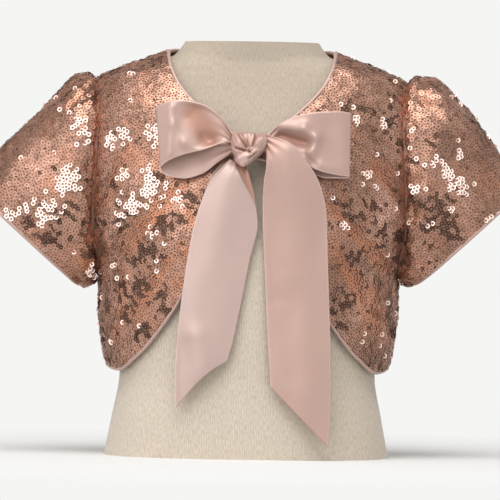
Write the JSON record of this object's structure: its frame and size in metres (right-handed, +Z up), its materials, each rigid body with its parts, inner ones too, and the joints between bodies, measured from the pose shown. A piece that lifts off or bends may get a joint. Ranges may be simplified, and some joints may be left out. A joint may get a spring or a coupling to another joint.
{
  "type": "sequinned shrug on a dress form",
  "caption": "Child's short-sleeved sequinned bolero shrug with cutaway fronts tied by a satin ribbon bow, worn by a limbless tabletop dress form.",
  "frame": {"origin": "middle of the dress form's flat base", "axes": "+Z up towards the neck, the front of the shrug faces -Y, the wearer's left is at +X"},
  "size_m": [0.4485, 0.1943, 0.3336],
  "materials": {
    "rose_sequins": "mesh covered in rose-gold sequins, glossy and metallic",
    "blush_satin": "dusty pink satin ribbon, soft sheen",
    "ecru_linen": "finely woven ecru cover, matte"
  },
  "bodies": {
    "root": {"dress_form": "ecru_linen", "back": "rose_sequins", "left_front": "rose_sequins", "right_front": "rose_sequins", "left_sleeve": "rose_sequins", "right_sleeve": "rose_sequins", "left_neck_binding": "blush_satin", "right_neck_binding": "blush_satin", "back_neck_binding": "blush_satin", "left_front_binding": "blush_satin", "right_front_binding": "blush_satin", "back_hem_binding": "blush_satin", "left_sleeve_binding": "blush_satin", "right_sleeve_binding": "blush_satin", "left_loop": "blush_satin", "right_loop": "blush_satin", "left_tail": "blush_satin", "right_tail": "blush_satin", "knot": "blush_satin"}
  },
  "joints": []
}
